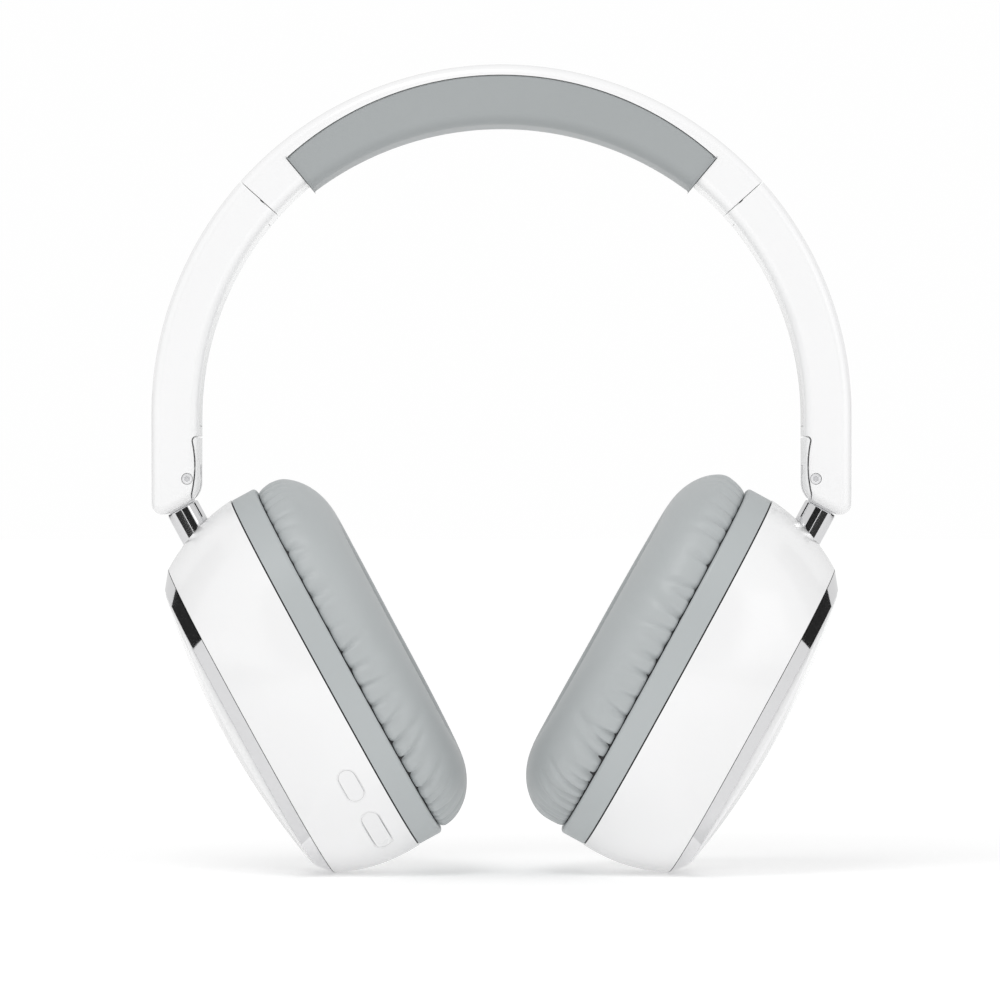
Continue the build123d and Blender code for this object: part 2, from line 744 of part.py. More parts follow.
def paired(blank):
    """Pieces that both sides have, drawn on the left."""
    return {
        "strip_guide": strip_guide(),
        "detent_spring": detent_spring(),
        "liner_screw": liner_screw(),
        "slider_strip": slider_strip(),
        "strip_screw": strip_screw(),
        "arm_shell": arm_shell(blank),
        "arm_inner_cover": arm_inner_cover(),
        "hinge_cover": hinge_cover(blank),
        "hinge_screw": hinge_screw(),
        "hinge_knuckle": hinge_knuckle(),
        "swivel_stem": swivel_stem(),
        "stem_clip": stem_clip(),
        "stem_bush": stem_bush(),
        "trim_ring": trim_ring(),
        "cup_cover": cup_cover(),
        "baffle": baffle(),
        "driver_frame": driver_frame(),
        "driver_magnet": driver_magnet(),
        "diaphragm": diaphragm(),
        "driver_grille": driver_grille(),
        "cushion_ring": cushion_ring(),
        "ear_cushion": ear_cushion(),
    }


def single(blank):
    """Pieces of the headband and those that only one cup has."""
    parts = {
        "headband_shell": headband_shell(blank),
        "headband_pad": headband_pad(),
        "headband_liner": headband_liner(),
        "headband_spring": headband_spring(),
        "cup_shell_left": cup_shell([button_bar(name, button_gap) for name in button_heights]),
        "cup_shell_right": mirrored(cup_shell(port_cuts())),
        "main_board": board(),
        "power_board": mirrored(board()),
        "battery": mirrored(battery()),
        "aux_jack": mirrored(aux_jack()),
        "usb_socket": mirrored(usb_socket()),
    }
    for name in button_heights:
        parts[name] = button(name)
        parts[name.replace("button", "switch")] = switch(name)
    return parts


def build():
    blank = band_blank()
    parts = single(blank)
    for name, part in paired(blank).items():
        parts[name + "_left"] = part
        parts[name + "_right"] = mirrored(part)
    return parts


def main():
    os.makedirs("parts", exist_ok=True)
    for name, part in build().items():
        export_step(part, "parts/" + name + ".step")


if __name__ == "__main__":
    main()
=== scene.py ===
# %% [markdown]
# # White folding headphones
#
# This file dresses a finished CAD model of a pair of over ear headphones. The CAD model holds
# every hard piece and every joint; here it gets its soft pieces, its finishes, its light and a
# camera. Everything is in metres, in the CAD model's own frame: the headphones stand on the
# rims of their cups, +Z is up, and -Y is the front.

# %% Load the model
import json
import math
import random

import bpy
import numpy as np
from mathutils import Matrix, Vector


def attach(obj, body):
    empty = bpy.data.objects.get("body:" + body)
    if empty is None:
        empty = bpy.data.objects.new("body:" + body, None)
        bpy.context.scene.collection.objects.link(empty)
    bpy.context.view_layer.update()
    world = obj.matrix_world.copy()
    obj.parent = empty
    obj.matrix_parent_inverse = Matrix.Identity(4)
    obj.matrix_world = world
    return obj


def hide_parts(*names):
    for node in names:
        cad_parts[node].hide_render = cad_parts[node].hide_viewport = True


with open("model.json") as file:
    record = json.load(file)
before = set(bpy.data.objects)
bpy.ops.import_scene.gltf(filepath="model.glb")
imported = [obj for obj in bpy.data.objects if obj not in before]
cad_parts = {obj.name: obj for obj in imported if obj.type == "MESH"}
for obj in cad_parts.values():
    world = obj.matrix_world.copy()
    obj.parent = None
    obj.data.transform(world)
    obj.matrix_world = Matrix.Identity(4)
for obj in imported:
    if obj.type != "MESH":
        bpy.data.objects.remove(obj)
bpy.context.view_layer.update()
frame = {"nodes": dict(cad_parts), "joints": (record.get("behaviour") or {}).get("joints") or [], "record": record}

MM = 0.001
SIDES = ("left", "right")
nodes = frame["nodes"]
joints = {joint["name"]: joint for joint in frame["joints"]}
print("nodes loaded:", len(nodes))


# %% [markdown]
# ## Where a cup is
#
# Each cup hangs tilted on its stem, so its pieces are easiest to shape in the cup's own frame:
# one axis towards the ear, one to the back, one up along the stem. The swivel joint in the
# record gives the stem's direction, and the CAD solids give the rest, so nothing is measured
# twice. The right cup's frame is a mirror image of the left's.

# %% The cup's frame
def cup_directions(side):
    """Unit vectors towards the ear and up along the stem."""
    axis = Vector(joints["swivel_" + side]["axis"]).normalized()
    up = axis if axis.z > 0 else -axis
    to_ear = Vector((up.z, 0, -up.x))
    return (to_ear if side == "left" else -to_ear), up


def span(node, direction):
    """How far a CAD node reaches along a direction, as (low, high)."""
    co = np.array([v.co for v in nodes[node].data.vertices])
    along = co @ np.array(direction)
    return float(along.min()), float(along.max())


def seat_matrix(node, side):
    """Places a shape on the back face of a node: X to the ear, Y to the back, Z up the stem."""
    to_ear, up = cup_directions(side)
    back = span(node, to_ear)[0]
    low, high = span(node, up)
    origin = to_ear * back + up * (low + high) / 2
    columns = (to_ear, Vector((0, 1, 0)), up, origin)
    return Matrix([[c[row] for c in columns] for row in range(3)] + [[0, 0, 0, 1]])


def node_size(node, side):
    """Thickness towards the ear, depth and height of a node in its cup's frame."""
    to_ear, up = cup_directions(side)
    spans = [span(node, d) for d in (to_ear, Vector((0, 1, 0)), up)]
    return [high - low for low, high in spans]


print("cushion size in mm:", [round(v / MM, 1) for v in node_size("ear_cushion_left", "left")])

# %% [markdown]
# ## Camera and studio
#
# A product picture on white is lit from everywhere: a white world, a large soft light above the
# front and a pale floor that glows a little. Its glow is painted light, and it is weaker near the
# cups: a painted shade that adds to their real contact shadows, so the floor darkens where the cups
# touch it. White goods on white show their form through what they reflect, so dark cards stand in
# front and behind at the sides.
# Only glossy surfaces see them: they draw the streaks down the bright stems.

# %% Camera
CAMERA_AT = Vector((-0.35, -1800.0, 87.4)) * MM
VIEW_WIDE = 235.0 * MM          # what the picture spans at the middle of the object
SENSOR = 36.0

camera_data = bpy.data.cameras.new("camera")
camera_data.sensor_width = SENSOR
camera_data.lens = SENSOR * abs(CAMERA_AT.y) / VIEW_WIDE
camera_data.clip_start = 0.05
camera = bpy.data.objects.new("camera", camera_data)
camera.location = CAMERA_AT
camera.rotation_euler = (math.radians(90), 0, 0)
bpy.context.scene.collection.objects.link(camera)
bpy.context.scene.camera = camera
print("lens in mm:", round(camera_data.lens, 1))


# %% World and lights
ROOM_LIGHT = 0.75               # what the white room gives to the object
BACKDROP = 0.995                # how bright the room itself looks


def white_world():
    world = bpy.data.worlds.new("white_room")
    world.use_nodes = True
    tree = world.node_tree
    background = tree.nodes["Background"]
    background.inputs["Color"].default_value = (1, 1, 1, 1)
    ray = tree.nodes.new("ShaderNodeLightPath")
    level = tree.nodes.new("ShaderNodeMapRange")
    level.inputs["To Min"].default_value = ROOM_LIGHT
    level.inputs["To Max"].default_value = BACKDROP
    tree.links.new(ray.outputs["Is Camera Ray"], level.inputs["Value"])
    tree.links.new(level.outputs["Result"], background.inputs["Strength"])
    bpy.context.scene.world = world


def soft_light(name, at, size, power):
    """A square light that faces the middle of the headphones."""
    data = bpy.data.lights.new(name, "AREA")
    data.size = size
    data.energy = power
    light = bpy.data.objects.new(name, data)
    light.location = at
    aim = Vector((0, 0, 0.09)) - light.location
    light.rotation_euler = aim.to_track_quat("-Z", "Y").to_euler()
    bpy.context.scene.collection.objects.link(light)


white_world()
bpy.context.scene.view_settings.view_transform = "Standard"
soft_light("key", Vector((-0.25, -0.8, 1.1)), 0.5, 3.7)
soft_light("fill", Vector((0.9, -0.8, 0.3)), 0.6, 0.9)


# %% Floor and dark cards
def nothing_selected():
    if bpy.context.mode != "OBJECT":
        bpy.ops.object.mode_set(mode="OBJECT")
    bpy.ops.object.select_all(action="DESELECT")


def plain(name, color, roughness):
    """A one-colour material for what isn't part of the object."""
    material = bpy.data.materials.new(name)
    material.use_nodes = True
    shader = material.node_tree.nodes["Principled BSDF"]
    shader.inputs["Base Color"].default_value = (*color, 1)
    shader.inputs["Roughness"].default_value = roughness
    return material


FLOOR_WIDE = 30                     # in metres
FLOOR_BELOW = 0.2 * MM              # a hair under the rims, so that nothing lies in the floor
FLOOR_PAINT = 0.80
GLOW_NEAR, GLOW_FAR = 0.30, 0.42    # painted light, lifting the floor to the room's own white; less under the object, a painted shade
GLOW_RADII = (0.10, 0.55)           # in metres


def add_floor():
    nothing_selected()
    bpy.ops.mesh.primitive_plane_add(size=FLOOR_WIDE, location=(0, 0, -FLOOR_BELOW))
    floor = bpy.context.object
    floor.name = "floor"
    paint = plain("floor_paint", [FLOOR_PAINT] * 3, 1.0)
    tree = paint.node_tree
    shader = tree.nodes["Principled BSDF"]
    shader.inputs["Specular IOR Level"].default_value = 0.0
    # The floor's emission is painted light; its smaller value near the object is a painted shade round the cups.
    shader.inputs["Emission Color"].default_value = (1, 1, 1, 1)
    place = tree.nodes.new("ShaderNodeTexCoord")
    far = tree.nodes.new("ShaderNodeVectorMath")
    far.operation = "LENGTH"
    glow = tree.nodes.new("ShaderNodeMapRange")
    glow.interpolation_type = "SMOOTHSTEP"
    steps = (*GLOW_RADII, GLOW_NEAR, GLOW_FAR)
    for label, value in zip(("From Min", "From Max", "To Min", "To Max"), steps):
        glow.inputs[label].default_value = value
    tree.links.new(place.outputs["Object"], far.inputs[0])
    tree.links.new(far.outputs["Value"], glow.inputs["Value"])
    tree.links.new(glow.outputs["Result"], shader.inputs["Emission Strength"])
    floor.data.materials.append(paint)


BLACK_CARD, PALE_CARD = 0.012, 0.93


def add_card(name, at, wide, high, turn, flat=False, shade=BLACK_CARD):
    """A card that only reflections see: black, or a pale grey."""
    nothing_selected()
    lean = 0 if flat else math.radians(90)
    bpy.ops.mesh.primitive_plane_add(size=1, location=at, rotation=(lean, 0, turn))
    card = bpy.context.object
    card.name = name
    card.scale = (wide, high, 1)
    card.data.materials.append(plain(name + "_paint", (shade, shade, shade), 1.0))
    card.visible_camera = False
    card.visible_diffuse = False
    card.visible_shadow = False
    card.visible_transmission = False


add_floor()
add_card("card_front", (0, -1.6, 0.40), 1.8, 1.3, 0)
for sign in (-1, 1):            # to the left and to the right
    add_card("card_side", (sign * 0.9, 0.15, 0.45), 0.5, 0.9, math.radians(90))
    add_card("card_stem", (sign * 0.23, -0.55, 0.002), 0.10, 0.9, 0, flat=True)
    add_card("card_ring", (sign * 0.2, 0.065, 0.07), 0.13, 0.10, math.radians(90))
    add_card("card_low", (sign * 0.29, 0.1, 0.001), 0.48, 0.5, 0, flat=True, shade=PALE_CARD)

# %% [markdown]
# ## Finishes
#
# Each finish is one Principled shader. What makes it look real are the small changes over the
# surface: the fine ripple of moulded plastic, the pebbles of coated fabric, the drawn lines of
# steel. Those effects are shader node groups, so that several finishes can share one with their
# own values. A group gives out only a height, a tone or a mask; the shader stays outside it.

# %% A small node toolbox
def new_group(name, inputs, outputs):
    """A shader node group with float inputs (name: value) and float outputs."""
    group = bpy.data.node_groups.new(name, "ShaderNodeTree")
    for label, value in inputs.items():
        socket = group.interface.new_socket(label, in_out="INPUT", socket_type="NodeSocketFloat")
        socket.default_value = value
    for label in outputs:
        group.interface.new_socket(label, in_out="OUTPUT", socket_type="NodeSocketFloat")
    entry = group.nodes.new("NodeGroupInput")
    end = group.nodes.new("NodeGroupOutput")
    return group, entry, end


def math_node(tree, operation, a, b=None):
    """A Math node fed by sockets or numbers; returns its output."""
    node = tree.nodes.new("ShaderNodeMath")
    node.operation = operation
    for index, value in enumerate((a, b)):
        if value is None:
            continue
        if isinstance(value, (int, float)):
            node.inputs[index].default_value = value
        else:
            tree.links.new(value, node.inputs[index])
    return node.outputs[0]


def object_place(tree, stretch=(1, 1, 1)):
    """Object coordinates, stretched along the axes."""
    coordinates = tree.nodes.new("ShaderNodeTexCoord")
    mapping = tree.nodes.new("ShaderNodeMapping")
    mapping.inputs["Scale"].default_value = stretch
    tree.links.new(coordinates.outputs["Object"], mapping.inputs["Vector"])
    return mapping.outputs["Vector"]


def noise(tree, place, scale, detail=2.0, roughness=0.5):
    node = tree.nodes.new("ShaderNodeTexNoise")
    tree.links.new(place, node.inputs["Vector"])
    if isinstance(scale, (int, float)):
        node.inputs["Scale"].default_value = scale
    else:
        tree.links.new(scale, node.inputs["Scale"])
    node.inputs["Detail"].default_value = detail
    node.inputs["Roughness"].default_value = roughness
    return node.outputs["Fac"]


# %% Effect: pebbled coating of synthetic leather
def pebble_group():
    """Rounded pebbles between fine creases, with a slow change of tone."""
    group, entry, end = new_group("pebbles", {"Pebbles per metre": 1500, "Crease": 0.5},
                                  ["Height", "Tone"])
    place = object_place(group)
    cells = group.nodes.new("ShaderNodeTexVoronoi")
    cells.feature = "SMOOTH_F1"
    cells.inputs["Smoothness"].default_value = 0.35
    group.links.new(place, cells.inputs["Vector"])
    group.links.new(entry.outputs["Pebbles per metre"], cells.inputs["Scale"])
    dome = math_node(group, "SUBTRACT", 1.0, cells.outputs["Distance"])
    fine = noise(group, place, 4200, 1.0)
    height = math_node(group, "ADD", math_node(group, "MULTIPLY", dome, entry.outputs["Crease"]),
                       math_node(group, "MULTIPLY", fine, 0.25))
    group.links.new(height, end.inputs["Height"])
    slow = noise(group, place, 38, 3.0)
    group.links.new(slow, end.inputs["Tone"])
    return group


# %% Effect: the skin of moulded plastic
def moulded_group():
    """A slow ripple, a fine haze and rare rub marks."""
    group, entry, end = new_group("moulded_skin", {"Ripple": 0.5}, ["Height", "Haze", "Tone"])
    place = object_place(group)
    ripple = noise(group, place, 90, 1.0)
    peel = noise(group, place, 900, 2.0)
    height = math_node(group, "ADD", math_node(group, "MULTIPLY", ripple, entry.outputs["Ripple"]),
                       math_node(group, "MULTIPLY", peel, 0.08))
    group.links.new(height, end.inputs["Height"])
    group.links.new(noise(group, place, 30, 4.0, 0.6), end.inputs["Haze"])
    group.links.new(noise(group, place, 14, 2.0), end.inputs["Tone"])
    return group


# %% Effect: lines left by rolling or polishing
def drawn_group():
    """Long fine lines along the local Z of the object."""
    group, entry, end = new_group("drawn_lines", {"Lines per metre": 6000}, ["Height", "Mask"])
    place = object_place(group, (1, 1, 0.04))
    lines = noise(group, place, entry.outputs["Lines per metre"], 2.0, 0.6)
    group.links.new(lines, end.inputs["Height"])
    smudge = noise(group, object_place(group), 60, 4.0, 0.65)
    group.links.new(smudge, end.inputs["Mask"])
    return group


# %% Effect: knitted cloth
def knit_group():
    """Two crossed sets of waves make a fine knit."""
    group, entry, end = new_group("knit", {"Loops per metre": 1600}, ["Height", "Tone"])
    place = object_place(group)
    split = group.nodes.new("ShaderNodeSeparateXYZ")
    group.links.new(place, split.inputs[0])
    waves = []
    for axis in ("Y", "Z"):
        turns = math_node(group, "MULTIPLY", split.outputs[axis], entry.outputs["Loops per metre"])
        angle = math_node(group, "MULTIPLY", turns, 2 * math.pi)
        waves.append(math_node(group, "ABSOLUTE", math_node(group, "SINE", angle)))
    loops = math_node(group, "MULTIPLY", waves[0], waves[1])
    group.links.new(loops, end.inputs["Height"])
    group.links.new(math_node(group, "MULTIPLY", loops, noise(group, place, 300)), end.inputs["Tone"])
    return group


EFFECTS = {
    "pebbles": pebble_group(),
    "moulded": moulded_group(),
    "drawn": drawn_group(),
    "knit": knit_group(),
}
print("effects:", ", ".join(EFFECTS))


# %% Building a finish
def finish_base(name, roughness, metallic=0.0, **more):
    """A material with its Principled shader's plain numbers set."""
    material = bpy.data.materials.new(name)
    material.use_nodes = True
    shader = material.node_tree.nodes["Principled BSDF"]
    shader.inputs["Roughness"].default_value = roughness
    shader.inputs["Metallic"].default_value = metallic
    for label, value in more.items():
        shader.inputs[label.replace("_", " ")].default_value = value
    return material, material.node_tree, shader


def place_effect(tree, name, **values):
    node = tree.nodes.new("ShaderNodeGroup")
    node.node_tree = EFFECTS[name]
    for label, value in values.items():
        node.inputs[label.replace("_", " ")].default_value = value
    return node


def tone_to_color(tree, shader, tone, dark, light):
    """A slow tone becomes a small change between two colours."""
    mix = tree.nodes.new("ShaderNodeMix")
    mix.data_type = "RGBA"
    mix.inputs["A"].default_value = (*dark, 1)
    mix.inputs["B"].default_value = (*light, 1)
    tree.links.new(tone, mix.inputs["Factor"])
    tree.links.new(mix.outputs["Result"], shader.inputs["Base Color"])


def height_to_bump(tree, shader, height, depth, strength=1.0):
    bump = tree.nodes.new("ShaderNodeBump")
    bump.inputs["Strength"].default_value = strength
    bump.inputs["Distance"].default_value = depth
    tree.links.new(height, bump.inputs["Height"])
    tree.links.new(bump.outputs["Normal"], shader.inputs["Normal"])


def mask_to_roughness(tree, shader, mask, low, high):
    """A mask from 0 to 1 becomes a roughness between two values."""
    spread = tree.nodes.new("ShaderNodeMapRange")
    spread.inputs["From Min"].default_value = 0.3
    spread.inputs["From Max"].default_value = 0.7
    spread.inputs["To Min"].default_value = low
    spread.inputs["To Max"].default_value = high
    tree.links.new(mask, spread.inputs["Value"])
    tree.links.new(spread.outputs["Result"], shader.inputs["Roughness"])


# %% Finishes: plastics
def plastic(name, dark, light, rough, ripple=0.5, coat=0.0):
    """Moulded plastic: rough is the (lowest, highest) roughness."""
    material, tree, shader = finish_base(name, rough[0], Coat_Weight=coat)
    skin = place_effect(tree, "moulded", Ripple=ripple)
    tone_to_color(tree, shader, skin.outputs["Tone"], dark, light)
    mask_to_roughness(tree, shader, skin.outputs["Haze"], *rough)
    height_to_bump(tree, shader, skin.outputs["Height"], 0.00002, 0.05)
    return material


def leather(name, dark, light, pebbles, crease, rough):
    """Coated fabric with a soft sheen."""
    material, tree, shader = finish_base(name, rough, Sheen_Weight=0.12, Sheen_Roughness=0.5)
    coat = place_effect(tree, "pebbles", Pebbles_per_metre=pebbles, Crease=crease)
    tone_to_color(tree, shader, coat.outputs["Tone"], dark, light)
    mask_to_roughness(tree, shader, coat.outputs["Tone"], rough - 0.05, rough + 0.06)
    height_to_bump(tree, shader, coat.outputs["Height"], 0.00007, 0.3)
    return material


def steel(name, color, rough, lines=6000, depth=0.00001):
    material, tree, shader = finish_base(name, rough[0], 1.0)
    drawn = place_effect(tree, "drawn", Lines_per_metre=lines)
    tone = [c * 0.93 for c in color]
    tone_to_color(tree, shader, drawn.outputs["Mask"], tone, color)
    mask_to_roughness(tree, shader, drawn.outputs["Mask"], *rough)
    height_to_bump(tree, shader, drawn.outputs["Height"], depth, 0.2)
    return material


def cloth(name, dark, light):
    material, tree, shader = finish_base(name, 0.85, Sheen_Weight=0.3)
    knit = place_effect(tree, "knit", Loops_per_metre=1300)
    tone_to_color(tree, shader, knit.outputs["Tone"], dark, light)
    height_to_bump(tree, shader, knit.outputs["Height"], 0.0002, 0.8)
    return material


def green_board(name):
    """Laminate with soldered pads in a grid."""
    material, tree, shader = finish_base(name, 0.4)
    place = object_place(tree)
    grid = tree.nodes.new("ShaderNodeTexChecker")
    grid.inputs["Scale"].default_value = 350
    tree.links.new(place, grid.inputs["Vector"])
    spots = math_node(tree, "GREATER_THAN", noise(tree, place, 260, 2.0), 0.56)
    tone_to_color(tree, shader, math_node(tree, "MULTIPLY", spots, grid.outputs["Fac"]),
                  (0.02, 0.12, 0.07), (0.55, 0.5, 0.3))
    return material


# The screws' zinc plating is dull and pale, so it takes the plastic's shader and not the steel's.
FINISHES = {
    "shell_white": plastic("white_plastic", (0.875, 0.875, 0.878), (0.895, 0.895, 0.898),
                           (0.16, 0.24), 0.5, 0.15),
    "button_plastic": plastic("button_white", (0.85, 0.85, 0.853), (0.88, 0.88, 0.883), (0.24, 0.34)),
    "grey_plastic": plastic("grey_ring_plastic", (0.445, 0.472, 0.478), (0.468, 0.495, 0.501),
                            (0.38, 0.48), 0.4),
    "inner_plastic": plastic("black_plastic", (0.018, 0.018, 0.019), (0.03, 0.03, 0.032), (0.5, 0.62)),
    "film": plastic("driver_film", (0.04, 0.04, 0.045), (0.06, 0.06, 0.066), (0.2, 0.3)),
    "pad_leather": leather("band_leather", (0.338, 0.358, 0.362), (0.364, 0.384, 0.389),
                           1700, 0.35, 0.56),
    "cushion_leather": leather("cushion_leather", (0.43, 0.455, 0.46), (0.462, 0.487, 0.493),
                               1500, 0.4, 0.44),
    "spring_steel": steel("spring_steel", (0.58, 0.58, 0.59), (0.22, 0.34), 5000, 0.00002),
    "screw_steel": plastic("zinc_plated", (0.80, 0.80, 0.81), (0.87, 0.87, 0.88), (0.3, 0.42), 0.4),
    "magnet_steel": steel("magnet_steel", (0.5, 0.5, 0.52), (0.3, 0.45)),
    "bright_chrome": steel("bright_chrome", (0.86, 0.86, 0.87), (0.03, 0.09), 3000, 0.000004),
    "speaker_cloth": cloth("speaker_cloth", (0.10, 0.105, 0.11), (0.20, 0.205, 0.21)),
    "circuit_board": green_board("circuit_board"),
    "battery_foil": steel("battery_foil", (0.7, 0.7, 0.71), (0.3, 0.5), 1500, 0.00005),
}


# %% Give each CAD node its finish
def dress_nodes():
    slots = {part["node"]: part["material_slot"] for part in frame["record"]["subparts"]}
    for name, node in nodes.items():
        node.data.materials.clear()
        node.data.materials.append(FINISHES[slots[name]])


dress_nodes()
print("finishes given to", len(nodes), "nodes")

# %% [markdown]
# ## Ear cushions
#
# An ear cushion is a foam ring in a skin of coated fabric. The skin is sewn to a flat ring and
# gathered there, so its side wall is full of small folds that start at the seam and fade
# towards the face. A modeller could sculpt it by hand, but the folds are a rule: they crowd
# together where the outline turns and fade on the straight sides. So the ring starts as a swept
# section, a short cloth simulation blows it up against its sewn edges, and then the folds are
# pressed in one by one from a seeded list. Foam gives with use: each cushion has its own swell
# at the top and at the foot, and its upper end has crept up a little past the seam.

# %% The swept ring
RING_STEPS = 180                # round the oval
OVAL_POWER = 2.45               # between an ellipse (2) and a rectangle
CREST_INSET = 14.4 * MM         # from the outline to the highest line of the face
CREST_FALL = 11.5 * MM          # height of the outer shoulder
HOLE_INSET = 17.6 * MM          # from the outline to the wall of the opening
LIP_FALL = 4.2 * MM             # height of the inner shoulder
SEAM_REACH = 0.30 * MM          # the skin rolls this far under, towards the grey ring
SHRINK = 0.35 * MM              # the ring starts this much smaller and swells
RISE_FROM = 6.0 * MM            # above this height over the seam the foam is free to creep


def oval_point(angle, half_deep, half_high, inset):
    """A point on the cup's oval, moved straight inwards by an inset, as (depth, height)."""
    c, s = math.cos(angle), math.sin(angle)
    power = 2 / OVAL_POWER
    y = math.copysign(abs(c) ** power, c) * half_deep
    z = math.copysign(abs(s) ** power, s) * half_high
    ny = math.copysign((abs(y) / half_deep) ** (OVAL_POWER - 1), y) / half_deep
    nz = math.copysign((abs(z) / half_high) ** (OVAL_POWER - 1), z) / half_high
    length = math.hypot(ny, nz)
    return y - inset * ny / length, z - inset * nz / length


def even_angles(half_deep, half_high, steps):
    """Angles that divide the oval's outline into equal lengths, starting at the back."""
    fine = [2 * math.pi * k / 4000 for k in range(4001)]
    points = np.array([oval_point(a, half_deep, half_high, 0) for a in fine])
    run = np.concatenate([[0], np.cumsum(np.hypot(*np.diff(points, axis=0).T))])
    return np.interp(np.linspace(0, run[-1], steps, endpoint=False), run, fine)


def cushion_section(thick):
    """The closed section of the ring as (inset, height above the seam)."""
    points = [(0.9 * MM, -SEAM_REACH), (0.3 * MM, 0.15 * MM - SEAM_REACH), (0.0, 0.9 * MM)]
    base = thick - CREST_FALL
    for k in range(13):
        turn = math.radians(90 * k / 12)
        points.append((CREST_INSET * (1 - math.cos(turn)), base + CREST_FALL * math.sin(turn)))
    lip = HOLE_INSET - CREST_INSET
    for k in range(1, 7):
        turn = math.radians(90 * k / 6)
        points.append((CREST_INSET + lip * math.sin(turn), thick - LIP_FALL * (1 - math.cos(turn))))
    points += [(HOLE_INSET, thick - LIP_FALL - 3 * MM), (HOLE_INSET, 2.5 * MM), (HOLE_INSET, 0.3 * MM)]
    points += [(HOLE_INSET - 3.5 * MM, 0.0), (9 * MM, 0.0), (4 * MM, 0.0)]
    return points


def swept_ring(name, size, swell, rise):
    """A grid of quads that follows the section round the oval.

    swell: how much the foam is thicker than the CAD solid at the top and at the foot; a worn
    cushion is thinner. rise: how far its upper end has crept up past the seam.
    """
    thick, deep, high = size
    angles = even_angles(deep / 2, high / 2, RING_STEPS)
    rows = len(cushion_section(thick))
    verts = []
    for angle in angles:
        foot = 0.5 - 0.5 * math.sin(angle)
        here = thick + swell[0] * (1 - foot) + swell[1] * foot
        for inset, up in cushion_section(here):
            y, z = oval_point(angle, deep / 2 - SHRINK, high / 2 - SHRINK, inset)
            free = min(max(up / RISE_FROM, 0), 1) * max(math.sin(angle), 0) ** 2
            verts.append((up, y, z + rise * free))
    faces = []
    for i in range(RING_STEPS):
        after = (i + 1) % RING_STEPS
        for j in range(rows):
            k = (j + 1) % rows
            faces.append((i * rows + j, i * rows + k, after * rows + k, after * rows + j))
    mesh = bpy.data.meshes.new(name)
    mesh.from_pydata(verts, [], faces)
    ring = bpy.data.objects.new(name, mesh)
    bpy.context.scene.collection.objects.link(ring)
    return ring


# %% Blow it up
CLOTH_FRAMES = 20
PRESSURE = 4.0
SEWN_BELOW = 1.0 * MM           # the skin is held below this height over the seam
SWELL_CAP = 0.9 * MM            # no part of it moves further than this


def vertex_array(piece):
    co = np.empty(len(piece.data.vertices) * 3)
    piece.data.vertices.foreach_get("co", co)
    return co.reshape(-1, 3)


def write_vertices(piece, co):
    piece.data.vertices.foreach_set("co", np.ascontiguousarray(co, float).ravel())
    piece.data.update()


def make_active(piece):
    nothing_selected()
    piece.select_set(True)
    bpy.context.view_layer.objects.active = piece


def inflate(piece, held, cap):
    """Swells a piece as cloth, with its held vertices fixed, and no vertex moving over the cap."""
    before = vertex_array(piece)
    group = piece.vertex_groups.new(name="sewn")
    group.add([int(k) for k in held], 1.0, "REPLACE")
    cloth_modifier = piece.modifiers.new("cloth", "CLOTH")
    settings = cloth_modifier.settings
    settings.quality = 5
    settings.mass = 0.3
    settings.tension_stiffness = 12
    settings.compression_stiffness = 12
    settings.bending_stiffness = 0.4
    settings.use_pressure = True
    settings.uniform_pressure_force = PRESSURE
    settings.vertex_group_mass = "sewn"
    settings.effector_weights.gravity = 0
    cloth_modifier.point_cache.frame_end = CLOTH_FRAMES
    for step in range(1, CLOTH_FRAMES + 1):
        bpy.context.scene.frame_set(step)
    make_active(piece)
    bpy.ops.object.modifier_apply(modifier="cloth")
    after = vertex_array(piece)
    move = after - before
    length = np.linalg.norm(move, axis=1, keepdims=True)
    allowed = np.minimum(length, cap)
    write_vertices(piece, before + move * allowed / np.maximum(length, 1e-12))
    bpy.context.scene.frame_set(1)
    piece.vertex_groups.clear()
    print(piece.name, "largest swell in mm:", round(float(allowed.max()) / MM, 2))


def subdivided(piece, levels):
    make_active(piece)
    modifier = piece.modifiers.new("subdivision", "SUBSURF")
    modifier.levels = modifier.render_levels = levels
    bpy.ops.object.modifier_apply(modifier="subdivision")


# %% Press the folds in
END_FROM = 0.72                 # share of the half height beyond which the outline turns
FOLD_GAP = 5.4 * MM             # between two folds on the upper straight side
FOLD_SIDE = 10.5 * MM           # folds stay outside this inset


def fold_list(run, seed, fullness):
    """Folds round the seam: (place, reach, width, depth, slant). They crowd at the two ends."""
    dice = random.Random(seed)
    folds, place = [], 0.0
    while place < run:
        height = math.sin(2 * math.pi * place / run)
        end = max(0.0, abs(height) - END_FROM) / (1 - END_FROM)
        lower = 0.5 - 0.5 * height
        strength = max(fullness[0] + (fullness[1] - fullness[0]) * lower, 0.8 * end)
        gap = (FOLD_GAP - (1.6 * lower + 1.9 * end) * MM) * dice.uniform(0.65, 1.35)
        reach = (5.0 + 9.0 * strength) * dice.uniform(0.6, 1.25) * MM
        width = (1.15 - 0.45 * end) * dice.uniform(0.75, 1.25) * MM
        depth = (0.30 + 0.75 * strength) * (1 - 0.35 * end) * dice.uniform(0.5, 1.3) * MM
        folds.append((place, reach, width, depth, dice.uniform(-0.22, 0.22)))
        place += gap
    return folds


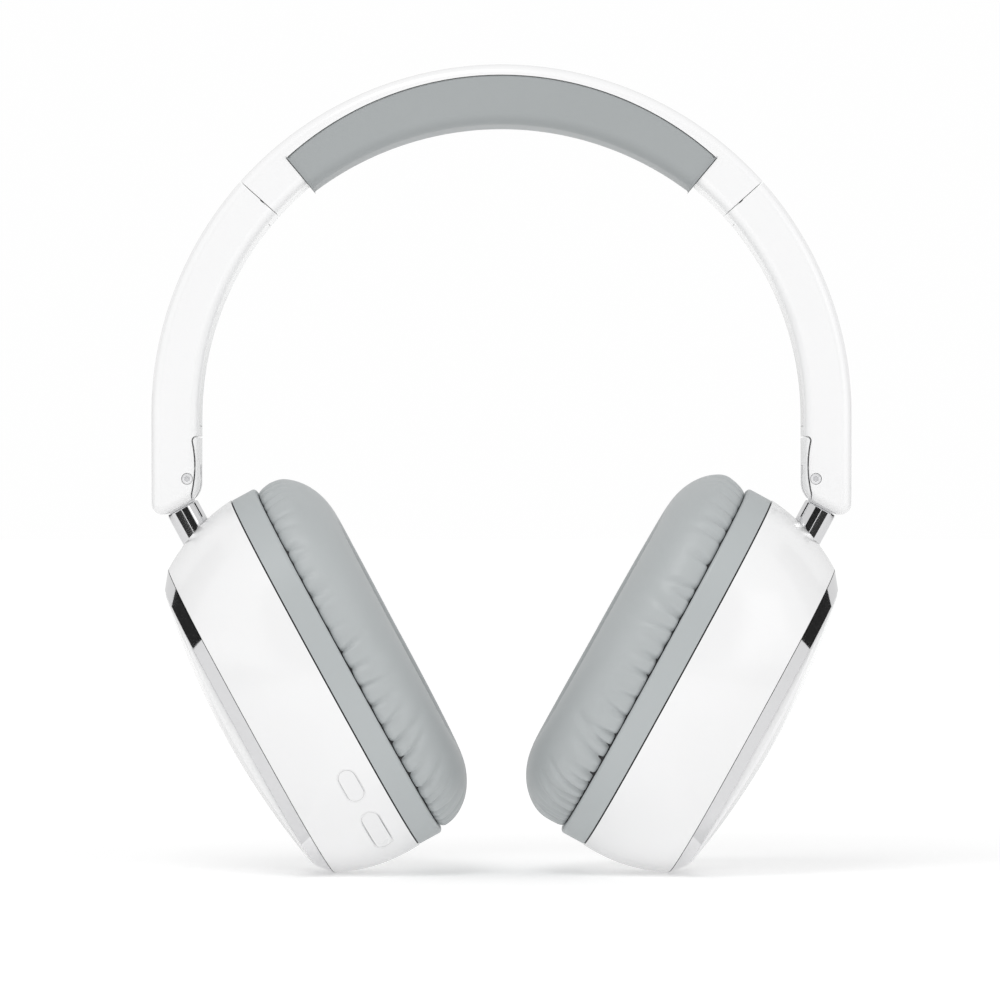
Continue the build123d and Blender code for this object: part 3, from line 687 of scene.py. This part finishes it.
def press_folds(piece, size, seed, fullness):
    """Moves the side wall in along each fold and lets it puff out between them."""
    _, deep, high = size
    fine = np.linspace(0, 2 * math.pi, 2001)
    outline = np.array([oval_point(a, deep / 2, high / 2, 0) for a in fine])
    run_at = np.concatenate([[0], np.cumsum(np.hypot(*np.diff(outline, axis=0).T))])
    polar = np.unwrap(np.arctan2(outline[:, 1], outline[:, 0]))
    co = vertex_array(piece)
    up, y, z = co.T
    turn = np.mod(np.arctan2(z, y), 2 * math.pi)
    place = np.interp(turn, polar, run_at)
    run = run_at[-1]
    inset = np.interp(turn, polar, np.hypot(*outline.T)) - np.hypot(y, z)
    climb = np.maximum(up, 0) + np.maximum(inset, 0) * 0.6
    side = np.clip((FOLD_SIDE - inset) / (4 * MM), 0, 1)
    press, puff, lift = np.zeros(len(co)), np.zeros(len(co)), np.zeros(len(co))
    for at, reach, width, depth, slant in fold_list(run, seed, fullness):
        away = (place - at - slant * climb + run / 2) % run - run / 2
        spread = width * (0.5 + 1.0 * np.clip(climb / reach, 0, 1.5))
        fade = np.clip(1 - climb / reach, 0, 1) ** 1.1
        valley = np.exp(-(away / spread) ** 2)
        shoulder = np.exp(-(away / (2.4 * spread)) ** 2) - valley
        press += depth * valley * fade
        puff += 0.6 * depth * np.maximum(shoulder, 0) * fade
        pinch = np.exp(-(away / (0.8 * width)) ** 2) * np.exp(-climb / (1.5 * MM))
        lift += min(0.75 * depth, 0.45 * MM) * pinch
    out = np.stack([np.zeros(len(co)), y, z], 1)
    out /= np.maximum(np.linalg.norm(out, axis=1, keepdims=True), 1e-9)
    tilt = np.clip(inset / (8 * MM), 0, 1)[:, None]
    normal = out * (1 - tilt) + np.array([1.0, 0, 0]) * tilt
    co = co + normal * ((puff - press) * side)[:, None]
    co[:, 0] += lift * side
    write_vertices(piece, co)


def soften_hole(piece, size, seed):
    """Small pleats on the wall of the opening, strongest at its two ends."""
    thick, deep, high = size
    dice = random.Random(seed)
    co = vertex_array(piece)
    up, y, z = co.T
    turn = np.arctan2(z, y)
    inner = np.array([oval_point(a, deep / 2, high / 2, HOLE_INSET) for a in np.linspace(0, 6.283, 721)])
    polar = np.unwrap(np.arctan2(inner[:, 1], inner[:, 0]))
    wall_r = np.interp(np.mod(turn, 2 * math.pi), polar, np.hypot(*inner.T))
    near = np.clip(1 - np.abs(np.hypot(y, z) - wall_r) / (2.2 * MM), 0, 1)
    ends = 0.35 + 0.65 * np.abs(np.sin(turn)) ** 3
    wave = np.zeros(len(co))
    for count in (23, 31, 44, 57):
        wave += np.sin(count * turn + dice.uniform(0, 6.28)) / 4
    depth = 0.35 * MM * near * ends * np.clip((thick - 1.5 * MM - up) / (6 * MM), 0, 1)
    out = np.stack([np.zeros(len(co)), y, z], 1)
    out /= np.maximum(np.linalg.norm(out, axis=1, keepdims=True), 1e-9)
    write_vertices(piece, co + out * (wave * depth)[:, None])


def outward(piece):
    """Recalculates the normals of a closed mesh, and smooths its shading."""
    make_active(piece)
    bpy.ops.object.mode_set(mode="EDIT")
    bpy.ops.mesh.select_all(action="SELECT")
    bpy.ops.mesh.normals_make_consistent(inside=False)
    bpy.ops.object.mode_set(mode="OBJECT")
    bpy.ops.object.shade_smooth()


def ear_cushion(side, seed, fullness, swell, rise):
    node = "ear_cushion_" + side
    size = node_size(node, side)
    ring = swept_ring("cushion_" + side, size, swell, rise)
    co = vertex_array(ring)
    held = [k for k in range(len(co)) if co[k][0] < SEWN_BELOW]
    inflate(ring, held, SWELL_CAP)
    subdivided(ring, 2)
    press_folds(ring, size, seed, fullness)
    soften_hole(ring, size, seed + 7)
    ring.data.transform(seat_matrix(node, side))
    outward(ring)
    ring.data.materials.append(FINISHES["cushion_leather"])
    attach(ring, "cup_" + side)
    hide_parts(node)
    print(ring.name, "faces:", len(ring.data.polygons))


ear_cushion("left", 11, (0.25, 0.95), (-0.2 * MM, -1.2 * MM), 1.2 * MM)
ear_cushion("right", 29, (0.5, 0.95), (0.7 * MM, 1.5 * MM), 2.0 * MM)

# %% [markdown]
# ## Headband pad
#
# The pad is foam under a smooth grey skin, as wide as the band and stretched tight, so it is
# flat on its sides and rounded only along its lower edges. It is swept like the cushions: the
# same section, from one end of the bay to the other, between two circles that set its thickness.

# %% The swept pad
BAND_CENTRE_Z = 107.15 * MM
PAD_HALF_LEAN = math.radians(39.86)
TOP_CIRCLE = (79.38 * MM, 78.27 * MM)      # radius of the top face at the crown and at the ends
UNDER_CIRCLE = (67.8 * MM, 69.0 * MM)      # and of the underside
PAD_STEPS = 120
PAD_ROUND = 3.2 * MM
BAND_HALF = (14.85 * MM, 9.5 * MM)         # half depth at the crown and at the feet
BAND_FOOT_Z = 83.0 * MM
BAND_TOP_Z = 189.05 * MM


def offset_circle(crown, end):
    """Centre height and radius of the circle through a crown radius and two end radii."""
    shift = (crown - end) / (1 - math.cos(PAD_HALF_LEAN))
    return BAND_CENTRE_Z + shift, crown - shift


def circle_reach(circle, lean):
    """Distance from the band's centre to a circle, along a lean."""
    shift, radius = circle[0] - BAND_CENTRE_Z, circle[1]
    return shift * math.cos(lean) + math.sqrt(radius ** 2 - (shift * math.sin(lean)) ** 2)


def band_half(z):
    share = (z - BAND_FOOT_Z) / (BAND_TOP_Z - BAND_FOOT_Z)
    return BAND_HALF[1] + (BAND_HALF[0] - BAND_HALF[1]) * share


def pad_section(low, high, steps=8):
    """Half of the section as (share of the half depth or metres in, radius), top to bottom."""
    points = [(0.0, high), (0.5, high), (0.85, high)]
    points += [(1.0, high - 0.08 * MM)]
    points += [(1.0, high - (high - low - PAD_ROUND) * k / 4) for k in (1, 2, 3)]
    for k in range(steps + 1):
        turn = math.radians(90 * k / steps)
        points.append((("in", PAD_ROUND * (1 - math.cos(turn))), low + PAD_ROUND * (1 - math.sin(turn))))
    points += [(0.55, low - 0.10 * MM), (0.25, low - 0.22 * MM), (0.0, low - 0.26 * MM)]
    return points


def pad_row(lean):
    """One closed row of points across the pad at a lean."""
    high = circle_reach(offset_circle(*TOP_CIRCLE), lean)
    low = circle_reach(offset_circle(*UNDER_CIRCLE), lean) + 0.1 * MM
    right = []
    for share, radius in pad_section(low, high):
        half = band_half(BAND_CENTRE_Z + radius * math.cos(lean)) - 0.1 * MM
        y = half - share[1] if isinstance(share, tuple) else half * share
        right.append((y, radius))
    ring = right + [(-y, radius) for y, radius in reversed(right[1:-1])]
    return [(radius * math.sin(lean), y, BAND_CENTRE_Z + radius * math.cos(lean)) for y, radius in ring]


def headband_pad():
    leans = [PAD_HALF_LEAN * (2 * k / PAD_STEPS - 1) for k in range(PAD_STEPS + 1)]
    rows = [pad_row(lean) for lean in leans]
    count = len(rows[0])
    verts = [p for row in rows for p in row]
    faces = []
    for i in range(PAD_STEPS):
        for j in range(count):
            k = (j + 1) % count
            faces.append((i * count + j, i * count + k, (i + 1) * count + k, (i + 1) * count + j))
    faces.append(tuple(range(count)))
    faces.append(tuple(reversed(range(PAD_STEPS * count, (PAD_STEPS + 1) * count))))
    mesh = bpy.data.meshes.new("headband_cushion")
    mesh.from_pydata(verts, [], faces)
    pad = bpy.data.objects.new("headband_cushion", mesh)
    bpy.context.scene.collection.objects.link(pad)
    make_active(pad)
    ends = pad.modifiers.new("ends", "BEVEL")
    ends.width = 0.5 * MM
    ends.segments = 3
    ends.limit_method = "ANGLE"
    ends.angle_limit = math.radians(60)
    bpy.ops.object.modifier_apply(modifier="ends")
    outward(pad)
    pad.data.materials.append(FINISHES["pad_leather"])
    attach(pad, "headband")
    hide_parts("headband_pad")
    print(pad.name, "faces:", len(pad.data.polygons))


headband_pad()

# %% [markdown]
# ## Painted shade in the cup joints
#
# Between the shell and the grey ring a thin black ring is set into the gap, a little under the
# surface. It is painted shade: it makes the joint read as a fine dark line and not as a pale
# groove. Each is cut from a copy of the grey ring: a slice is kept with two bisections, then it
# is drawn in a little and moved into the gap.

# %% Slice a ring for the painted shade in the gap
GAP_SHADE_THICK = 0.5 * MM
GAP_SHADE_IN = 0.35 * MM           # below the surface
GAP_SHADE_CUT = 0.1 * MM           # the slice starts this far from the grey ring's back
GAP_SHADE_BACK = 0.45 * MM         # and moves back by this, into the gap


def slice_copy(name, node, origin, direction, low, high):
    """A merged copy of a node, kept only between two places along a direction."""
    piece = bpy.data.objects.new(name, nodes[node].data.copy())
    bpy.context.scene.collection.objects.link(piece)
    make_active(piece)
    piece.data.materials.clear()
    bpy.ops.object.mode_set(mode="EDIT")
    bpy.ops.mesh.select_all(action="SELECT")
    bpy.ops.mesh.remove_doubles(threshold=0.000005)
    for place, outer in ((low, False), (high, True)):
        bpy.ops.mesh.select_all(action="SELECT")
        bpy.ops.mesh.bisect(plane_co=origin + direction * place, plane_no=direction, use_fill=True,
                            clear_inner=not outer, clear_outer=outer)
    bpy.ops.object.mode_set(mode="OBJECT")
    return piece


def gap_shade_ring(side):
    """A black ring in the gap between the shell and the grey ring, painted shade for the joint line."""
    node = "baffle_" + side
    to_ear, _ = cup_directions(side)
    matrix = seat_matrix(node, side)
    origin = matrix.translation
    piece = slice_copy("shell_gap_shade_" + side, node, origin, to_ear,
                       GAP_SHADE_CUT, GAP_SHADE_CUT + GAP_SHADE_THICK)
    _, deep, high = node_size(node, side)
    shrink = Matrix.Diagonal((1, 1 - 2 * GAP_SHADE_IN / deep, 1 - 2 * GAP_SHADE_IN / high, 1))
    shift = Matrix.Translation((-GAP_SHADE_BACK, 0, 0))
    piece.data.transform(matrix @ shift @ shrink @ matrix.inverted())
    # The black finish here is painted shade for the gap between the shell and the grey ring.
    piece.data.materials.append(FINISHES["inner_plastic"])
    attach(piece, "cup_" + side)


for side in SIDES:
    gap_shade_ring(side)
print("gap_shade_rings made")

# %% [markdown]
# ## Button webs
#
# The two buttons are drawn as one moulding with a thin white web that joins each to the shell,
# so the line round a button is a shallow groove and not a dark slit. Each web is a thin frame
# that follows the button's own outline and the rounding of its face, a little below that face.
# Its outer edge is hidden under the shell and its inner edge leaves the button room to go in.

# %% Webs
WEB_DOWN = 0.14 * MM            # below the button's face
WEB_OUT = 0.42 * MM             # beyond the button's outline, under the shell
WEB_CLEAR = 0.04 * MM           # its inner edge stays this far clear of the button
WEB_THICK = 0.25 * MM
WEB_NEAR = 0.9 * MM             # the face's height is read within this distance
WEB_POINTS = 64                 # round the outline


def button_web(node):
    """A thin rounded frame in the groove round a button."""
    to_ear, _ = cup_directions("left")
    slide = Vector(joints[node + "_press"]["axis"]).normalized()
    inward = slide if slide.y > 0 else -slide
    up = inward.cross(to_ear).normalized()
    up = up if up.z > 0 else -up
    co = np.array([v.co for v in nodes[node].data.vertices])
    across, along, out = (co @ np.array(d) for d in (to_ear, up, -inward))
    middle = [(values.min() + values.max()) / 2 for values in (across, along)]
    half = [(values.max() - values.min()) / 2 for values in (across, along)]
    straight = half[1] - half[0]
    rings = []
    for grow, deep in ((WEB_OUT, 0), (WEB_CLEAR, 0), (WEB_CLEAR, WEB_THICK), (WEB_OUT, WEB_THICK)):
        ring = []
        for k in range(WEB_POINTS):
            turn = 2 * math.pi * (k + 0.5) / WEB_POINTS
            x, y = math.cos(turn), math.sin(turn)
            shift = math.copysign(straight, y)
            edge = (middle[0] + half[0] * x, middle[1] + half[0] * y + shift)
            near = np.hypot(across - edge[0], along - edge[1]) < WEB_NEAR
            face = out[near].max() - WEB_DOWN - deep
            reach = half[0] + grow
            sideways, upwards = middle[0] + reach * x, middle[1] + reach * y + shift
            ring.append(to_ear * sideways + up * upwards - inward * face)
        rings.append(ring)
    verts = [p for ring in rings for p in ring]
    faces = []
    for r in range(len(rings)):
        this, after = r * WEB_POINTS, (r + 1) % len(rings) * WEB_POINTS
        for k in range(WEB_POINTS):
            beside = (k + 1) % WEB_POINTS
            faces.append((this + k, this + beside, after + beside, after + k))
    mesh = bpy.data.meshes.new(node + "_web")
    mesh.from_pydata(verts, [], faces)
    web = bpy.data.objects.new(node + "_web", mesh)
    bpy.context.scene.collection.objects.link(web)
    outward(web)
    web.data.materials.append(FINISHES["button_plastic"])
    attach(web, "cup_left")


for node in ("button_upper", "button_lower"):
    button_web(node)
print("webs made")
